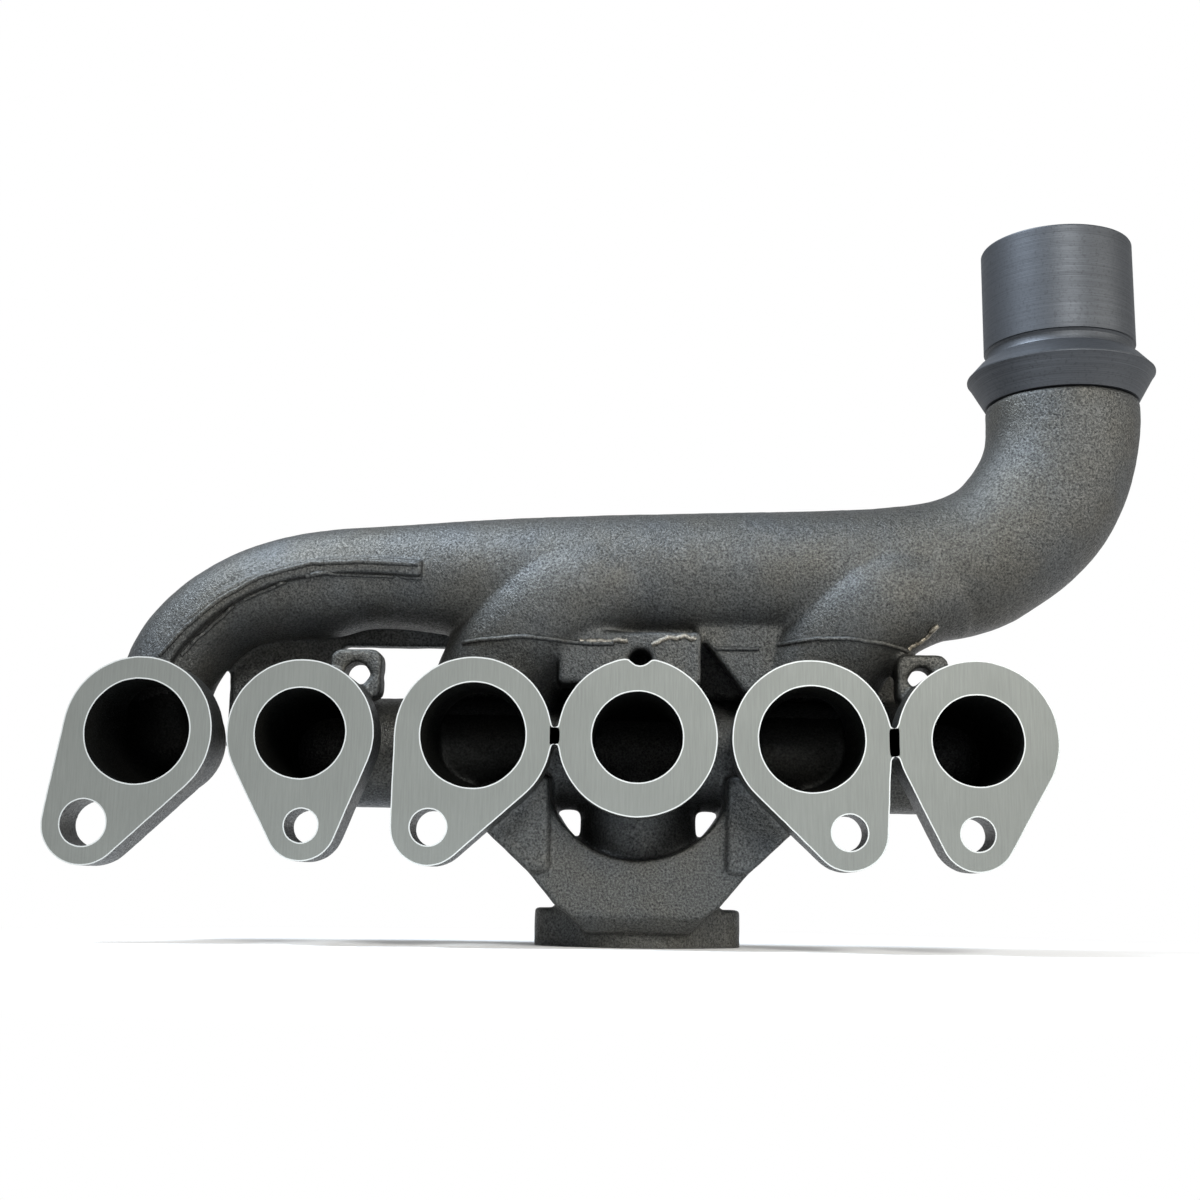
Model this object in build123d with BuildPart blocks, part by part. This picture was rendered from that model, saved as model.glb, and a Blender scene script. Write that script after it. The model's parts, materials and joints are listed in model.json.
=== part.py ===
from build123d import *
import os
from math import cos, radians, sin

# Cast-iron intake and exhaust manifold for a three-cylinder engine.
#
# Frame: the origin is the centre of the middle intake port, on the machined
# port face. +X runs along the row of ports towards the exhaust outlet, +Y
# points away from the cylinder head, and +Z is up. Millimetres throughout.
#
# The real part is one casting. Each named region of it is a closed solid here,
# and the regions meet face to face.

os.makedirs("parts", exist_ok=True)

# ---- driving dimensions ----
CYLINDER_PITCH = 122.0
PORT_SPACING = 59.4  # exhaust port to intake port of one cylinder
FLANGE_THICKNESS = 19.0
EXHAUST_BORE_R = 19.1
INTAKE_BORE_R = 16.45
STUD_ROW_Z = -33.2  # lower stud holes, below the port row
WALL = 5.0
REACH = 2.0  # how far a cutting tool runs past the face that it opens
FAR = 200.0  # larger than any cut needs

# Port flanges from -X to +X: rim radius, ear offset from the port, hole and ear radius.
EXHAUST_FLANGES = [
    {"rim": 27.3, "ear_x": -17.5, "hole": 8.4, "ear": 15.2},
    {"rim": 28.5, "ear_x": -15.1, "hole": 6.6, "ear": 13.7},
    {"rim": 28.5, "ear_x": 13.1, "hole": 6.5, "ear": 13.8},
]
INTAKE_FLANGES = [
    {"rim": 26.8, "ear_x": 1.8, "hole": 6.1, "ear": 12.8},
    {"rim": 28.8, "ear_x": 0.0, "hole": 0.0, "ear": 0.0},
    {"rim": 29.0, "ear_x": -1.0, "hole": 6.2, "ear": 13.5},
]
FLANGE_GAP = 1.8  # milled between flanges that would touch

# Exhaust side.
NECK_R = 24.0  # runner just behind its flange
BEND_BULGE = 0.6  # the bend is this much fuller than the pipe
RUNNER_R = 24.0
RUNNER_FORWARD = (0.8, 2.0)  # how far runners 2 and 3 come forward as they meet the collector
COLLECTOR_DEPTH = 42.0
OUTLET_X = 167.4
PIPE_R = 29.7
COLLAR_BOTTOM_Z = 137.5
COLLAR_RIM_Z = 149.0
COLLAR_RIM_HEIGHT = 2.0
COLLAR_TOP_Z = 161.0
COLLAR_R = 36.3
SPIGOT_R = 29.4
SPIGOT_TOP_Z = 202.6
SPIGOT_BORE_R = 24.6

# Intake side.
LOG_DEPTH = 58.0
LOG_Z = -2.0
LOG_R = 21.6
INTAKE_RUNNER_R = 21.0
RISER_X = 0.5
RISER_R = 22.5
RISER_BORE_R = 15.9
CARB_TOP_Z = -61.3
CARB_BOTTOM_Z = -75.4
CARB_HALF_WIDTH = 39.7
CARB_HALF_DEPTH = 27.0
CARB_EAR_R = 10.3
CARB_STUD_SPACING = 58.7
CARB_STUD_R = 3.97
CARB_SPOT_R = 5.5  # room over each carburettor stud, cut into the heat box

# Heat box: exhaust gas from ports 2 and 3 passes round the riser in it.
BOX_FRONT = 24.0
BOX_BACK = 84.0
BOX_WALL = 5.0
BOX_ARCH_R = 36.0
BOX_ARCH_Z = -7.4
BOX_BOTTOM_Z = -70.1
BOX_LIP_Z = -64.0
BOX_LIP_DEPTH = 5.0
BOX_SHOULDER_Z = -48.0
LEG_FRONT = 21.0
LEG_BACK = 56.0
LEG_INNER_X = 33.0
LEG_TOP_Z = -12.0

# Upper studs: slotted clamping lugs beside the outer intake ports, and one stud
# in a notch over the middle port.
LUG_X = 105.9
LUG_Z = 24.4
LUG_HEIGHT = 18.8
LUG_INWARD = 9.4  # from the hole to the slotted edge
LUG_OUTWARD = 10.0
LUG_CORNER_R = 4.0
LUG_HOLE_R = 4.7
LUG_SLOT = 1.6
LUG_BACK = 31.0
TOP_STUD_X = 0.7
TOP_STUD_Z = 30.3
TOP_STUD_R = 4.6
BOSS_X = (-30.0, 23.5)
BOSS_Z = (21.5, 41.5)
BOSS_BACK = 36.0

# The gusset between the collector and runner 3.
GUSSET_FRONT = 27.0
GUSSET_BACK = 40.0
GUSSET_POINTS = [(20.5, 46), (21.9, 43.6), (40.2, 19.6), (50, 19.6), (60, 46)]

# Webs that tie the collector to the log.
WEB_FRONT = 55.0
WEB_BACK = 62.0
WEB_TOP_Z = 58.0
WEB_LEFT = (-163.0, -72.0)
WEB_CENTRE = (-34.0, 58.0)
WEB_RIGHT = (84.0, 107.0)
WINDOW_X = -118.5  # the left web is open from here towards runner 2
WINDOW_TOP_Z = 40.0

# The stiffening rib on runner 1.
RIB_WIDTH = 5.2
RIB_FRONT = 17.6
RIB_POINTS = [(-180.5, 26), (-168, 43.5), (-153, 55), (-132, 63.2), (-111, 65.8), (-83, 64.6)]

EXHAUST_X = [i * CYLINDER_PITCH - PORT_SPACING for i in (-1, 0, 1)]
INTAKE_X = [i * CYLINDER_PITCH for i in (-1, 0, 1)]


def depth_plane(depth, x=0.0, z=0.0):
    """A plane parallel to the port face; extruding by -t goes t deeper."""
    return Plane(origin=(x, depth, z), x_dir=(1, 0, 0), z_dir=(0, -1, 0))


def station_plane(x, y, z, heading):
    """A plane across a pipe that runs parallel to the port face, at heading above +X."""
    turn = radians(heading)
    return Plane(origin=(x, y, z), x_dir=(-sin(turn), 0, cos(turn)), z_dir=(cos(turn), 0, sin(turn)))


def pipe(stations):
    """A pipe lofted through (x, y, z, heading, half width, half depth)."""
    with BuildPart() as made:
        for x, y, z, heading, width, depth in stations:
            with BuildSketch(station_plane(x, y, z, heading)):
                Ellipse(width, depth)
        loft()
    return made.part


def port_pipe(stations, neck_r):
    """A pipe that leaves its port square, turns in a round bend, and runs on through its stations."""
    x, bend_y, z, _, _, bend_r = stations[0]
    with BuildPart() as made:
        add(pipe(stations))
        with Locations((x, bend_y, z)):
            Sphere(bend_r + BEND_BULGE)
    with BuildPart() as neck:
        with BuildSketch(depth_plane(FLANGE_THICKNESS, x, z)):
            Circle(neck_r)
        with BuildSketch(depth_plane(bend_y, x, z)):
            Circle(bend_r)
        loft()
    return made.part + neck.part


def bore_of(stations):
    """The stations of the gas passage inside a pipe."""
    return [(*station[:4], station[4] - WALL, station[5] - WALL) for station in stations]


def rod_y(radius, start, end, x, z):
    """A round bar along Y between two depths."""
    with BuildPart() as made:
        with BuildSketch(depth_plane(start, x, z)):
            Circle(radius)
        extrude(amount=start - end)
    return made.part


def block(x_range, y_range, z_range):
    """A plain block between two corners."""
    size = [high - low for low, high in (x_range, y_range, z_range)]
    with BuildPart() as made:
        with Locations((x_range[0], y_range[0], z_range[0])):
            Box(*size, align=(Align.MIN, Align.MIN, Align.MIN))
    return made.part


def log_body(radius):
    """The intake log, a bar along X with round ends."""
    with BuildPart() as made:
        with BuildSketch(Plane.YZ.offset(INTAKE_X[0])):
            with Locations((LOG_DEPTH, LOG_Z)):
                Circle(radius)
        extrude(amount=INTAKE_X[2] - INTAKE_X[0])
        with Locations(*[(x, LOG_DEPTH, LOG_Z) for x in (INTAKE_X[0], INTAKE_X[2])]):
            Sphere(radius)
    return made.part


def mirrored(half):
    """A closed outline from its right half, about the riser's centreline."""
    right = [(RISER_X + x, z) for x, z in half]
    left = [(RISER_X - x, z) for x, z in reversed(half)]
    return right + left


def export(named, label):
    named.part.label = label
    export_step(named.part, f"parts/{label}.step")


# ---- pipe centrelines ----
# Runner 1 turns up out of its port and becomes the start of the collector.
first_x = EXHAUST_X[0]
RUNNER_1 = [
    (first_x, 41, 0, 82, 21, 21),
    (first_x - 0.3, 41, 27, 72, 17.6, 21.5),
    (first_x + 11, COLLECTOR_DEPTH, 45, 48, 17.5, 21.5),
    (first_x + 27.5, COLLECTOR_DEPTH, 56, 22, 18.2, 21.5),
    (first_x + 47, COLLECTOR_DEPTH, 61, 11, 20.5, 21.8),
    (first_x + 68, COLLECTOR_DEPTH, 64.2, 6, 20.6, 22.0),
]
COLLECTOR = [
    RUNNER_1[-1],
    (-92, COLLECTOR_DEPTH, 65.6, 2, 20.6, 22.0),
    (-55, COLLECTOR_DEPTH, 65.0, 0, 23.9, 24.0),
    (0, COLLECTOR_DEPTH, 65.9, 1, 25.4, 25.5),
    (50, COLLECTOR_DEPTH, 66.8, 1, 25.9, 26.0),
    (90, COLLECTOR_DEPTH, 67.6, 2, 26.7, 26.8),
    (113, COLLECTOR_DEPTH, 69.4, 10, 27.3, 27.4),
    (134, COLLECTOR_DEPTH, 75.8, 28, 27.8, 27.9),
]
ELBOW = [
    COLLECTOR[-1],
    (151.5, COLLECTOR_DEPTH, 89.5, 47, 28.4, 28.5),
    (162.7, COLLECTOR_DEPTH, 107, 68, 28.9, 29.0),
    (167, COLLECTOR_DEPTH, 124, 86, 29.4, 29.5),
    (OUTLET_X, COLLECTOR_DEPTH, COLLAR_BOTTOM_Z, 90, PIPE_R, PIPE_R),
]


def side_runner(port_x, forward):
    """Runner 2 or 3: up out of its port, then over and into the collector's front."""
    return [
        (port_x, 41, 0, 80, 23.6, 21),
        (port_x + 5, 41.5, 25, 68, RUNNER_R, 21.5),
        (port_x + 10.5, 39, 36, 58, RUNNER_R, 23),
        (port_x + 24, 36 - forward, 51.5, 36, RUNNER_R, 23),
        (port_x + 42, 35.5 - forward, 60, 18, 22, 22),
        (port_x + 62, 39, 63, 5, 20, 20.5),
    ]


# ---- gas passages and outer bodies that cut their neighbours ----
runner_stations = [
    RUNNER_1,
    side_runner(EXHAUST_X[1], RUNNER_FORWARD[0]),
    side_runner(EXHAUST_X[2], RUNNER_FORWARD[1]),
]
runner_outers = [port_pipe(stations, NECK_R) for stations in runner_stations]
runner_cores = [port_pipe(bore_of(stations), EXHAUST_BORE_R) for stations in runner_stations]
collector_outer = pipe(COLLECTOR)
collector_core = pipe(bore_of(COLLECTOR))
elbow_outer = pipe(ELBOW)
elbow_core = pipe(bore_of(ELBOW))
log_outer = log_body(LOG_R)

with BuildPart() as intake_core:
    add(log_body(LOG_R - WALL))
    for port_x in INTAKE_X:
        add(rod_y(INTAKE_BORE_R, -REACH, LOG_DEPTH, port_x, 0))
    with BuildSketch(Plane.XY.offset(CARB_BOTTOM_Z - REACH)):
        with Locations((RISER_X, LOG_DEPTH)):
            Circle(RISER_BORE_R)
    extrude(amount=LOG_Z - CARB_BOTTOM_Z + REACH)

with BuildPart() as riser_outer:
    with BuildSketch(Plane.XY.offset(CARB_TOP_Z)):
        with Locations((RISER_X, LOG_DEPTH)):
            Circle(RISER_R)
    extrude(amount=LOG_Z - CARB_TOP_Z)

# The gas channel runs down one leg, round the riser and up the other leg.
with BuildPart() as box_core:
    with BuildSketch(depth_plane(BOX_FRONT + BOX_WALL)):
        with BuildLine():
            Polyline(*mirrored([(62, -8), (62, -20), (24, -58), (15, -65)]), close=True)
        make_face()
        with Locations((RISER_X, BOX_ARCH_Z)):
            Circle(BOX_ARCH_R + BOX_WALL, mode=Mode.SUBTRACT)
        with Locations((RISER_X, 0)):
            Rectangle(2 * (BOX_ARCH_R + BOX_WALL), -2 * BOX_ARCH_Z, mode=Mode.SUBTRACT)
    extrude(amount=BOX_FRONT + 2 * BOX_WALL - LEG_BACK)
    with BuildSketch(depth_plane(BOX_FRONT + BOX_WALL)):
        with BuildLine():
            Polyline(*mirrored([(32, BOX_SHOULDER_Z), (24, -56.3)]), close=True)
        make_face()
    extrude(amount=BOX_FRONT + 2 * BOX_WALL - BOX_BACK)
    add(riser_outer.part, mode=Mode.SUBTRACT)

# ---- port flanges ----


def port_flange(label, port_x, bore, sizes, low_x, high_x):
    """A tear-drop flange: a round rim hulled with the ear that takes its stud."""
    with BuildPart() as flange:
        with BuildSketch(depth_plane(0, port_x)):
            Circle(sizes["rim"])
            if sizes["ear"]:
                with Locations((sizes["ear_x"], STUD_ROW_Z)):
                    Circle(sizes["ear"])
                make_hull()
                with Locations((sizes["ear_x"], STUD_ROW_Z)):
                    Circle(sizes["hole"], mode=Mode.SUBTRACT)
            else:
                with Locations((TOP_STUD_X, TOP_STUD_Z)):
                    Circle(TOP_STUD_R, mode=Mode.SUBTRACT)
            Circle(bore, mode=Mode.SUBTRACT)
            with Locations(((low_x + high_x) / 2 - port_x, 0)):
                Rectangle(high_x - low_x, FAR, mode=Mode.INTERSECT)
        extrude(amount=-FLANGE_THICKNESS)
    export(flange, label)
    return flange.part


# Neighbours that would touch are parted midway between their two rims.
def parting(exhaust_i, intake_i):
    right_of_exhaust = EXHAUST_X[exhaust_i] + EXHAUST_FLANGES[exhaust_i]["rim"]
    left_of_intake = INTAKE_X[intake_i] - INTAKE_FLANGES[intake_i]["rim"]
    return (right_of_exhaust + left_of_intake) / 2


half_gap = FLANGE_GAP / 2
flanges = {}
for i in range(3):
    parted = i > 0
    middle = parting(i, i)
    exhaust_high = middle - half_gap if parted else FAR
    intake_low = middle + half_gap if parted else -FAR
    exhaust_label = f"exhaust_port_flange_{i + 1}"
    intake_label = f"intake_port_flange_{i + 1}"
    flanges[exhaust_label] = port_flange(
        exhaust_label, EXHAUST_X[i], EXHAUST_BORE_R, EXHAUST_FLANGES[i], -1.5 * FAR, exhaust_high
    )
    flanges[intake_label] = port_flange(
        intake_label, INTAKE_X[i], INTAKE_BORE_R, INTAKE_FLANGES[i], intake_low, FAR
    )

# ---- intake side ----
with BuildPart() as intake_log:
    add(log_outer)
    add(intake_core.part, mode=Mode.SUBTRACT)
export(intake_log, "intake_log")

intake_runner_outers = []
for i, port_x in enumerate(INTAKE_X):
    intake_runner_outers.append(rod_y(INTAKE_RUNNER_R, FLANGE_THICKNESS, LOG_DEPTH, port_x, 0))
    with BuildPart() as intake_runner:
        add(intake_runner_outers[i])
        add(log_outer, mode=Mode.SUBTRACT)
        add(intake_core.part, mode=Mode.SUBTRACT)
    export(intake_runner, f"intake_runner_{i + 1}")

with BuildPart() as intake_riser:
    add(riser_outer.part)
    add(log_outer, mode=Mode.SUBTRACT)
    add(intake_runner_outers[1], mode=Mode.SUBTRACT)
    add(intake_core.part, mode=Mode.SUBTRACT)
export(intake_riser, "intake_riser")

with BuildPart() as carburettor_flange:
    with BuildSketch(Plane.XY.offset(CARB_BOTTOM_Z)):
        with Locations((RISER_X, LOG_DEPTH)):
            Ellipse(CARB_HALF_WIDTH * 0.72, CARB_HALF_DEPTH)
            with GridLocations(2 * (CARB_HALF_WIDTH - CARB_EAR_R), 0, 2, 1):
                Circle(CARB_EAR_R)
        make_hull()
        with Locations((RISER_X, LOG_DEPTH)):
            Circle(RISER_BORE_R, mode=Mode.SUBTRACT)
            with GridLocations(CARB_STUD_SPACING, 0, 2, 1):
                Circle(CARB_STUD_R, mode=Mode.SUBTRACT)
    extrude(amount=CARB_TOP_Z - CARB_BOTTOM_Z)
export(carburettor_flange, "carburettor_flange")

# ---- exhaust side ----
with BuildPart() as exhaust_collector:
    add(collector_outer)
    add(collector_core, mode=Mode.SUBTRACT)
    for core in runner_cores[1:]:
        add(core, mode=Mode.SUBTRACT)
export(exhaust_collector, "exhaust_collector")

with BuildPart() as outlet_elbow:
    add(elbow_outer)
    add(elbow_core, mode=Mode.SUBTRACT)
export(outlet_elbow, "outlet_elbow")

for i, outer in enumerate(runner_outers):
    with BuildPart() as exhaust_runner:
        add(outer)
        if i:
            add(collector_outer, mode=Mode.SUBTRACT)
            add(elbow_outer, mode=Mode.SUBTRACT)
            add(log_outer, mode=Mode.SUBTRACT)
            add(intake_runner_outers[i], mode=Mode.SUBTRACT)
        add(runner_cores[i], mode=Mode.SUBTRACT)
        if i:
            add(box_core.part, mode=Mode.SUBTRACT)
    export(exhaust_runner, f"exhaust_runner_{i + 1}")

with BuildPart() as outlet_collar:
    with BuildSketch(depth_plane(COLLECTOR_DEPTH, OUTLET_X)):
        with BuildLine():
            Polyline(
                (SPIGOT_BORE_R, COLLAR_BOTTOM_Z),
                (PIPE_R, COLLAR_BOTTOM_Z),
                (COLLAR_R, COLLAR_RIM_Z - COLLAR_RIM_HEIGHT),
                (COLLAR_R, COLLAR_RIM_Z),
                (SPIGOT_R + 1.8, COLLAR_TOP_Z - 6),
                (SPIGOT_R, COLLAR_TOP_Z),
                (SPIGOT_BORE_R, COLLAR_TOP_Z),
                close=True,
            )
        make_face()
    revolve(axis=Axis((OUTLET_X, COLLECTOR_DEPTH, 0), (0, 0, 1)))
export(outlet_collar, "outlet_collar")

with BuildPart() as outlet_spigot:
    with BuildSketch(Plane.XY.offset(COLLAR_TOP_Z)):
        with Locations((OUTLET_X, COLLECTOR_DEPTH)):
            Circle(SPIGOT_R)
            Circle(SPIGOT_BORE_R, mode=Mode.SUBTRACT)
    extrude(amount=SPIGOT_TOP_Z - COLLAR_TOP_Z)
export(outlet_spigot, "outlet_spigot")

with BuildPart() as runner_rib:
    with BuildSketch(depth_plane(RIB_FRONT)):
        with BuildLine():
            Spline(*RIB_POINTS)
        trace(line_width=RIB_WIDTH)
    extrude(amount=RIB_FRONT - COLLECTOR_DEPTH)
    for neighbour in (runner_outers[0], collector_outer, flanges["exhaust_port_flange_1"]):
        add(neighbour, mode=Mode.SUBTRACT)
export(runner_rib, "runner_rib")

# ---- heat box ----
with BuildPart() as heat_box:
    with BuildSketch(depth_plane(BOX_FRONT)):
        half = [(LEG_INNER_X, LEG_TOP_Z), (LEG_INNER_X, BOX_SHOULDER_Z), (40.8, BOX_SHOULDER_Z)]
        half += [(30.3, -60.3), (24.9, BOX_LIP_Z), (19.3, BOX_BOTTOM_Z)]
        with BuildLine():
            Polyline(*mirrored(half), close=True)
        make_face()
        with Locations((RISER_X, BOX_ARCH_Z)):
            Circle(BOX_ARCH_R, mode=Mode.SUBTRACT)
        with Locations((RISER_X, 0)):
            Rectangle(2 * BOX_ARCH_R, -2 * BOX_ARCH_Z, mode=Mode.SUBTRACT)
    extrude(amount=BOX_FRONT - BOX_BACK)
    # The lower front edge slopes back towards the carburettor flange.
    with BuildSketch(Plane.YZ.offset(-2 * LEG_INNER_X)):
        with BuildLine():
            Polyline(
                (BOX_FRONT - REACH, BOX_LIP_Z),
                (BOX_FRONT, BOX_LIP_Z),
                (BOX_FRONT + BOX_LIP_DEPTH, BOX_BOTTOM_Z),
                (BOX_FRONT + BOX_LIP_DEPTH, BOX_BOTTOM_Z - REACH),
                (BOX_FRONT - REACH, BOX_BOTTOM_Z - REACH),
                close=True,
            )
        make_face()
    extrude(amount=4 * LEG_INNER_X, mode=Mode.SUBTRACT)
    with BuildSketch(Plane.XY.offset(CARB_BOTTOM_Z)):
        with Locations((RISER_X, LOG_DEPTH)):
            with GridLocations(CARB_STUD_SPACING, 0, 2, 1):
                Circle(CARB_SPOT_R)
    extrude(amount=CARB_TOP_Z - CARB_BOTTOM_Z + REACH, mode=Mode.SUBTRACT)
    for neighbour in (box_core, riser_outer, carburettor_flange, intake_core):
        add(neighbour.part, mode=Mode.SUBTRACT)
    add(log_outer, mode=Mode.SUBTRACT)
export(heat_box, "heat_box")

# The legs stand a little proud of the box, and hang from ports 2 and 3.
for label, side, neck in (("heat_leg_left", -1, 1), ("heat_leg_right", 1, 2)):
    with BuildPart() as heat_leg:
        with BuildSketch(depth_plane(LEG_FRONT)):
            half = [(LEG_INNER_X, LEG_TOP_Z), (LEG_INNER_X, BOX_SHOULDER_Z), (40.8, BOX_SHOULDER_Z)]
            half += [(56.3, -33.6), (75.5, -14.5)]
            with BuildLine():
                Polyline(*[(RISER_X + side * x, z) for x, z in half], close=True)
            make_face()
        extrude(amount=LEG_FRONT - LEG_BACK)
        add(box_core.part, mode=Mode.SUBTRACT)
        for neighbour in (log_outer, runner_outers[neck], runner_cores[neck], intake_runner_outers[1]):
            add(neighbour, mode=Mode.SUBTRACT)
    export(heat_leg, label)

# ---- upper stud lugs ----
for label, side, i in (("stud_lug_left", -1, 0), ("stud_lug_right", 1, 2)):
    with BuildPart() as stud_lug:
        with BuildSketch(depth_plane(FLANGE_THICKNESS, side * LUG_X, LUG_Z)):
            with Locations((side * (LUG_OUTWARD - LUG_INWARD) / 2, 0)):
                RectangleRounded(LUG_INWARD + LUG_OUTWARD, LUG_HEIGHT, LUG_CORNER_R)
            Circle(LUG_HOLE_R, mode=Mode.SUBTRACT)
            with Locations((-side * LUG_INWARD, 0)):
                Rectangle(2 * LUG_INWARD, LUG_SLOT, mode=Mode.SUBTRACT)
        extrude(amount=FLANGE_THICKNESS - LUG_BACK)
        for neighbour in (intake_runner_outers[i], runner_outers[i], collector_outer, elbow_outer):
            add(neighbour, mode=Mode.SUBTRACT)
    export(stud_lug, label)

with BuildPart() as stud_boss:
    add(block(BOSS_X, (FLANGE_THICKNESS, BOSS_BACK), BOSS_Z))
    add(rod_y(TOP_STUD_R, 0, LOG_DEPTH, TOP_STUD_X, TOP_STUD_Z), mode=Mode.SUBTRACT)
    for neighbour in (intake_runner_outers[1], *runner_outers, collector_outer, log_outer):
        add(neighbour, mode=Mode.SUBTRACT)
export(stud_boss, "stud_boss_centre")

with BuildPart() as gusset:
    with BuildSketch(depth_plane(GUSSET_FRONT)):
        with BuildLine():
            Polyline(*GUSSET_POINTS, close=True)
        make_face()
    extrude(amount=GUSSET_FRONT - GUSSET_BACK)
    for neighbour in (runner_outers[2], collector_outer, log_outer, stud_boss.part):
        add(neighbour, mode=Mode.SUBTRACT)
export(gusset, "runner_gusset")

# ---- webs between the collector and the log ----
webs = {"log_web_left": WEB_LEFT, "log_web_centre": WEB_CENTRE, "log_web_right": WEB_RIGHT}
for label, span in webs.items():
    with BuildPart() as web:
        add(block(span, (WEB_FRONT, WEB_BACK), (LOG_Z, WEB_TOP_Z)))
        if span == WEB_LEFT:
            add(block((WINDOW_X, FAR), (0, FAR), (-FAR, WINDOW_TOP_Z)), mode=Mode.SUBTRACT)
        for neighbour in (log_outer, collector_outer, *runner_outers, *intake_runner_outers):
            add(neighbour, mode=Mode.SUBTRACT)
    export(web, label)
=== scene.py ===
import json
import math

import bmesh
import bpy
import numpy as np
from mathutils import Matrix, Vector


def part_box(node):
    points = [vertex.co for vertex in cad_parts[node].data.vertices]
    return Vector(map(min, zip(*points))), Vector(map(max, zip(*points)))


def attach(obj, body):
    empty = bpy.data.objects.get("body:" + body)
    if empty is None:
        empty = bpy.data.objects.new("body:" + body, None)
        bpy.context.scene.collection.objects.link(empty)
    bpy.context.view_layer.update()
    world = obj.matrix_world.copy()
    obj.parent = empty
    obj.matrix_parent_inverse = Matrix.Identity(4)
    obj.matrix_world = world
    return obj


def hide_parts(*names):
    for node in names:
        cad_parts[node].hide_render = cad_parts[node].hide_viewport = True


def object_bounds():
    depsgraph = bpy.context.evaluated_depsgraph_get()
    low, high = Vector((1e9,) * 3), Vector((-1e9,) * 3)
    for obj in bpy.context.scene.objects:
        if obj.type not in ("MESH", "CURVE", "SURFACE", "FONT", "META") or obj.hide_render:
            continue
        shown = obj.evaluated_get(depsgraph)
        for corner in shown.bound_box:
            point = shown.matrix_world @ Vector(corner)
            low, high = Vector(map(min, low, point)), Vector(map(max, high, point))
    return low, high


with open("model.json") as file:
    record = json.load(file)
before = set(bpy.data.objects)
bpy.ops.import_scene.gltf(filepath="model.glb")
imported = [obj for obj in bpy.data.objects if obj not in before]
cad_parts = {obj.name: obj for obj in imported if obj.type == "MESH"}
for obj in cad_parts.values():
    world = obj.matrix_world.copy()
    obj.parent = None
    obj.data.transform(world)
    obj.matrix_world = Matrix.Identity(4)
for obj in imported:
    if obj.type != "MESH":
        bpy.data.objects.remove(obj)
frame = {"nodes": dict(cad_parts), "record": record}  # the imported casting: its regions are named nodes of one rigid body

import openvdb
from bpy.props import FloatProperty, FloatVectorProperty, IntProperty, PointerProperty
from mathutils import Matrix, Vector

bl_info = {
    "name": "Cast Manifold",
    "version": (1, 0, 0),
    "blender": (4, 5, 0),
    "location": "View3D > Sidebar > Manifold",
    "description": "Builds the sand-cast skin, ground faces and turned outlet of an engine manifold",
    "category": "Object",
}

MM = 0.001
BODY = "root"
CAD_LOW, CAD_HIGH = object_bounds()

# ---- the regions of the casting ----
EXHAUST_FLANGES = [f"exhaust_port_flange_{i}" for i in (1, 2, 3)]
INTAKE_FLANGES = [f"intake_port_flange_{i}" for i in (1, 2, 3)]
EXHAUST_RUNNERS = [f"exhaust_runner_{i}" for i in (1, 2, 3)]
INTAKE_RUNNERS = [f"intake_runner_{i}" for i in (1, 2, 3)]
EXHAUST_REGIONS = EXHAUST_RUNNERS + ["exhaust_collector", "outlet_elbow"]
INTAKE_REGIONS = INTAKE_RUNNERS + ["intake_log", "intake_riser"]
HEAT_REGIONS = ["heat_box", "heat_leg_left", "heat_leg_right"]
STUD_REGIONS = ["stud_lug_left", "stud_lug_right", "stud_boss_centre"]
TIE_REGIONS = ["runner_rib", "runner_gusset", "log_web_left", "log_web_centre", "log_web_right"]
FLANGE_REGIONS = EXHAUST_FLANGES + INTAKE_FLANGES
CARBURETTOR_FLANGE = "carburettor_flange"
CAST_REGIONS = (
    FLANGE_REGIONS + EXHAUST_REGIONS + INTAKE_REGIONS + HEAT_REGIONS
    + STUD_REGIONS + TIE_REGIONS + [CARBURETTOR_FLANGE]
)
CRISP_REGIONS = (
    FLANGE_REGIONS + STUD_REGIONS + ["runner_rib", "runner_gusset", "heat_box", CARBURETTOR_FLANGE]
)
PROUD_REGION = "runner_rib"  # its edges would be lost in the fillets, so it is raised a little

# ---- the grid that the casting's distance field lives on ----
VOXEL = 0.9 * MM
BAND = 7  # voxels of true distance either side of the skin
REACH = BAND * VOXEL
MACHINING = 3  # voxels of raw iron in front of a face before it is machined
SEAM_LAP = 2 * VOXEL  # each region runs this far under its neighbour
SEAM_DIP = 0.4 * MM
CRISP_FADE = 3 * MM  # how far from a crisp region the plain fillets take over
WAVE_SEED, GRAIN_SEED = 11, 12


def voxel_index(point, rounding):
    return np.array([int(rounding(c / VOXEL)) for c in point])


GRID_MARGIN = BAND + MACHINING + 3
GRID_LOW = voxel_index(CAD_LOW, math.floor) - GRID_MARGIN
GRID_SHAPE = voxel_index(CAD_HIGH, math.ceil) + GRID_MARGIN - GRID_LOW + 1


def grid_transform():
    return openvdb.createLinearTransform(voxelSize=VOXEL)


def distance_patch(points, **faces):
    """Signed distance to a closed mesh: its lowest voxel and the block of values."""
    grid = openvdb.FloatGrid.createLevelSetFromPolygons(
        points, transform=grid_transform(), halfWidth=BAND, **faces
    )
    low, high = (np.array(c) for c in grid.evalActiveVoxelBoundingBox())
    low, high = low - 1, high + 1
    values = np.empty(high - low + 1, np.float32)
    grid.copyToArray(values, ijk=tuple(int(c) for c in low))
    return low, values


def node_patch(name):
    """Signed distance to one region of the CAD casting."""
    mesh = frame["nodes"][name].data
    points = np.empty(len(mesh.vertices) * 3, np.float32)
    mesh.vertices.foreach_get("co", points)
    mesh.calc_loop_triangles()
    triangles = np.empty(len(mesh.loop_triangles) * 3, np.int32)
    mesh.loop_triangles.foreach_get("vertices", triangles)
    return distance_patch(points.reshape(-1, 3), triangles=triangles.reshape(-1, 3).astype(np.uint32))


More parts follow.
